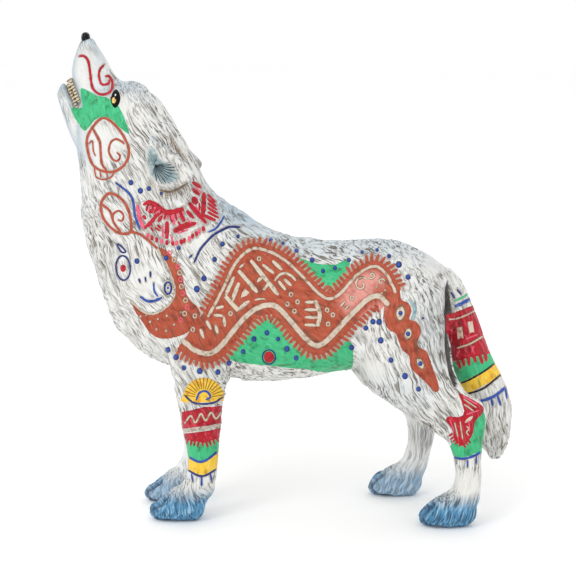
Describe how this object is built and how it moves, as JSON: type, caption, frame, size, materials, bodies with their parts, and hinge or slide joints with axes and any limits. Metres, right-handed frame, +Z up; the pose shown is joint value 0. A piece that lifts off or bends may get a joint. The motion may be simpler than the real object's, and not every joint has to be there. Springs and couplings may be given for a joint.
{
  "type": "howling wolf figurine",
  "caption": "Standing wolf with its head thrown back in a howl, carved-fur white resin painted on the flanks with folk-art bands, spirals and a fringed serpent.",
  "frame": {"origin": "centre of the footprint box, on the surface the paws stand on", "axes": "+Z up, -X the way the wolf faces, -Y its left flank"},
  "size_m": [0.1328, 0.0424, 0.142],
  "materials": {
    "resin": "hand-painted cast resin, satin",
    "eye": "glossy",
    "nose": "glossy",
    "teeth": "satin",
    "wire": "drawn wire",
    "dowel": "plain"
  },
  "bodies": {
    "root": {"torso": "resin", "head": "resin", "lower_jaw": "resin", "ear_left": "resin", "ear_right": "resin", "tail": "resin", "front_leg_left": "resin", "front_leg_right": "resin", "hind_leg_left": "resin", "hind_leg_right": "resin", "eye_left": "eye", "eye_right": "eye", "nose": "nose", "upper_teeth": "teeth", "lower_teeth": "teeth", "front_leg_wire_left": "wire", "front_leg_wire_right": "wire", "hind_leg_wire_left": "wire", "hind_leg_wire_right": "wire", "neck_dowel": "dowel", "tail_dowel": "dowel"}
  },
  "joints": []
}
